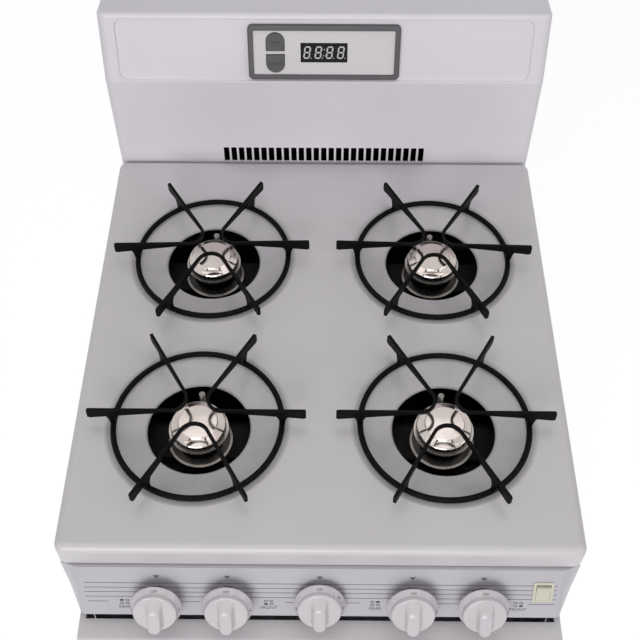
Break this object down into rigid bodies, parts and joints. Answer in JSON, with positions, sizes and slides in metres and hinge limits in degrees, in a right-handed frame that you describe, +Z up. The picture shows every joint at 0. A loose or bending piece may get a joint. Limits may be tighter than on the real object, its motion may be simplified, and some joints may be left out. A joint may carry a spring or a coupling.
{
  "type": "freestanding gas range",
  "caption": "Narrow freestanding gas range with lift-up cooktop, wire grates, push-and-turn knobs, backguard clock, drop-down oven door and broiler drawer.",
  "frame": {"origin": "on the floor under the middle of the range's outline", "axes": "+X to the user's right, +Y to the back, +Z up"},
  "size_m": [0.508, 0.704, 1.1145],
  "materials": {
    "white_enamel": "gloss white porcelain enamel",
    "plated_steel": "galvanised sheet",
    "heat_black": "heat-proof black paint",
    "oven_enamel": "dark speckled enamel",
    "burner_steel": "heat-toned steel tube",
    "burner_casting": "darkened casting",
    "cast_body": "as cast",
    "grate_black": "satin black enamel",
    "chrome_plate": "bright",
    "valve_brass": "machined",
    "electrode_ceramic": "glazed",
    "black_moulding": "matt black",
    "mineral_wool": "black-faced fibre blanket",
    "seal_rope": "woven glass rope",
    "window_glass": "tinted tempered glass",
    "lamp_glass": "clear glass dome",
    "white_moulding": "gloss white",
    "ivory_moulding": "gloss ivory",
    "grey_moulding": "grey",
    "dark_button": "dark grey",
    "display_black": "black window"
  },
  "bodies": {
    "cabinet": {"side_panel_left": "white_enamel", "side_panel_right": "white_enamel", "rear_cover": "plated_steel", "base_frame": "plated_steel", "leveling_feet": "plated_steel", "front_frame": "white_enamel", "oven_liner": "oven_enamel", "oven_floor": "oven_enamel", "oven_burner": "burner_steel", "oven_insulation": "mineral_wool", "flue_duct": "heat_black", "oven_lamp": "lamp_glass", "oven_racks": "chrome_plate", "broiler_liner": "oven_enamel", "burner_rails": "heat_black", "burners": "burner_casting", "burner_caps": "chrome_plate", "spark_electrodes": "electrode_ceramic", "spark_module": "black_moulding", "gas_manifold": "burner_steel", "valve_bodies": "valve_brass", "oven_thermostat": "cast_body", "gas_regulator": "cast_body", "cord_gland": "black_moulding", "control_panel": "white_enamel", "switch_housing": "ivory_moulding", "backguard": "white_enamel", "clock_case": "grey_moulding", "clock_fascia": "white_moulding", "clock_display": "display_black", "cooktop_hinges": "plated_steel", "door_hinge_arms": "plated_steel"},
    "door": {"door_outer_panel": "white_enamel", "door_inner_panel": "oven_enamel", "door_glass": "window_glass", "door_gasket": "seal_rope", "door_handle": "white_moulding", "door_hinge_channels": "plated_steel"},
    "drawer": {"drawer_front": "white_enamel", "drawer_tray": "oven_enamel", "broiler_pan": "oven_enamel", "broiler_grid": "chrome_plate"},
    "top": {"cooktop": "white_enamel"},
    "grate_front_left": {"grate_front_left": "grate_black"},
    "grate_front_right": {"grate_front_right": "grate_black"},
    "grate_rear_left": {"grate_rear_left": "grate_black"},
    "grate_rear_right": {"grate_rear_right": "grate_black"},
    "stem_rear_left": {"valve_stem_rear_left": "valve_brass"},
    "knob_rear_left": {"knob_rear_left": "white_moulding"},
    "stem_front_left": {"valve_stem_front_left": "valve_brass"},
    "knob_front_left": {"knob_front_left": "white_moulding"},
    "stem_oven": {"valve_stem_oven": "valve_brass"},
    "knob_oven": {"knob_oven": "white_moulding"},
    "stem_rear_right": {"valve_stem_rear_right": "valve_brass"},
    "knob_rear_right": {"knob_rear_right": "white_moulding"},
    "stem_front_right": {"valve_stem_front_right": "valve_brass"},
    "knob_front_right": {"knob_front_right": "white_moulding"},
    "rocker": {"light_rocker": "ivory_moulding"},
    "clock_button_upper": {"clock_button_upper": "dark_button"},
    "clock_button_lower": {"clock_button_lower": "dark_button"}
  },
  "joints": [
    {"name": "oven_door", "type": "hinge", "parent": "cabinet", "child": "door", "pos_m": [0, -0.292, 0.268], "axis": [1, 0, 0], "range_deg": [0, 90], "stiffness_Nm_per_rad": 5, "springref_deg": -28.65},
    {"name": "broiler_drawer", "type": "slide", "parent": "cabinet", "child": "drawer", "axis": [0, -1, 0], "range_m": [0, 0.3]},
    {"name": "cooktop_lift", "type": "hinge", "parent": "cabinet", "child": "top", "pos_m": [0, 0.262, 0.906], "axis": [-1, 0, 0], "range_deg": [0, 30]},
    {"name": "grate_lift_front_left", "type": "slide", "parent": "top", "child": "grate_front_left", "axis": [0, 0, 1], "range_m": [0, 0.03]},
    {"name": "grate_lift_front_right", "type": "slide", "parent": "top", "child": "grate_front_right", "axis": [0, 0, 1], "range_m": [0, 0.03]},
    {"name": "grate_lift_rear_left", "type": "slide", "parent": "top", "child": "grate_rear_left", "axis": [0, 0, 1], "range_m": [0, 0.03]},
    {"name": "grate_lift_rear_right", "type": "slide", "parent": "top", "child": "grate_rear_right", "axis": [0, 0, 1], "range_m": [0, 0.03]},
    {"name": "valve_turn_rear_left", "type": "hinge", "parent": "cabinet", "child": "stem_rear_left", "pos_m": [-0.159, -0.27265, 0.84867], "axis": [0, -0.9112, 0.4119], "range_deg": [0, 210]},
    {"name": "knob_push_rear_left", "type": "slide", "parent": "stem_rear_left", "child": "knob_rear_left", "axis": [0, 0.9112, -0.4119], "range_m": [0, 0.003], "stiffness_N_per_m": 600, "springref_m": -0.004},
    {"name": "valve_turn_front_left", "type": "hinge", "parent": "cabinet", "child": "stem_front_left", "pos_m": [-0.09, -0.27265, 0.84867], "axis": [0, -0.9112, 0.4119], "range_deg": [0, 210]},
    {"name": "knob_push_front_left", "type": "slide", "parent": "stem_front_left", "child": "knob_front_left", "axis": [0, 0.9112, -0.4119], "range_m": [0, 0.003], "stiffness_N_per_m": 600, "springref_m": -0.004},
    {"name": "valve_turn_oven", "type": "hinge", "parent": "cabinet", "child": "stem_oven", "pos_m": [0, -0.27265, 0.84867], "axis": [0, -0.9112, 0.4119], "range_deg": [0, 270]},
    {"name": "knob_push_oven", "type": "slide", "parent": "stem_oven", "child": "knob_oven", "axis": [0, 0.9112, -0.4119], "range_m": [0, 0.003], "stiffness_N_per_m": 600, "springref_m": -0.004},
    {"name": "valve_turn_rear_right", "type": "hinge", "parent": "cabinet", "child": "stem_rear_right", "pos_m": [0.09, -0.27265, 0.84867], "axis": [0, -0.9112, 0.4119], "range_deg": [0, 210]},
    {"name": "knob_push_rear_right", "type": "slide", "parent": "stem_rear_right", "child": "knob_rear_right", "axis": [0, 0.9112, -0.4119], "range_m": [0, 0.003], "stiffness_N_per_m": 600, "springref_m": -0.004},
    {"name": "valve_turn_front_right", "type": "hinge", "parent": "cabinet", "child": "stem_front_right", "pos_m": [0.159, -0.27265, 0.84867], "axis": [0, -0.9112, 0.4119], "range_deg": [0, 210]},
    {"name": "knob_push_front_right", "type": "slide", "parent": "stem_front_right", "child": "knob_front_right", "axis": [0, 0.9112, -0.4119], "range_m": [0, 0.003], "stiffness_N_per_m": 600, "springref_m": -0.004},
    {"name": "light_switch", "type": "hinge", "parent": "cabinet", "child": "rocker", "pos_m": [0.2175, -0.26614, 0.85824], "axis": [-1, 0, 0], "range_deg": [0, 14]},
    {"name": "clock_button_press_upper", "type": "slide", "parent": "cabinet", "child": "clock_button_upper", "axis": [0, 0.9673, -0.2535], "range_m": [0, 0.001], "stiffness_N_per_m": 500, "springref_m": -0.002},
    {"name": "clock_button_press_lower", "type": "slide", "parent": "cabinet", "child": "clock_button_lower", "axis": [0, 0.9673, -0.2535], "range_m": [0, 0.001], "stiffness_N_per_m": 500, "springref_m": -0.002}
  ]
}
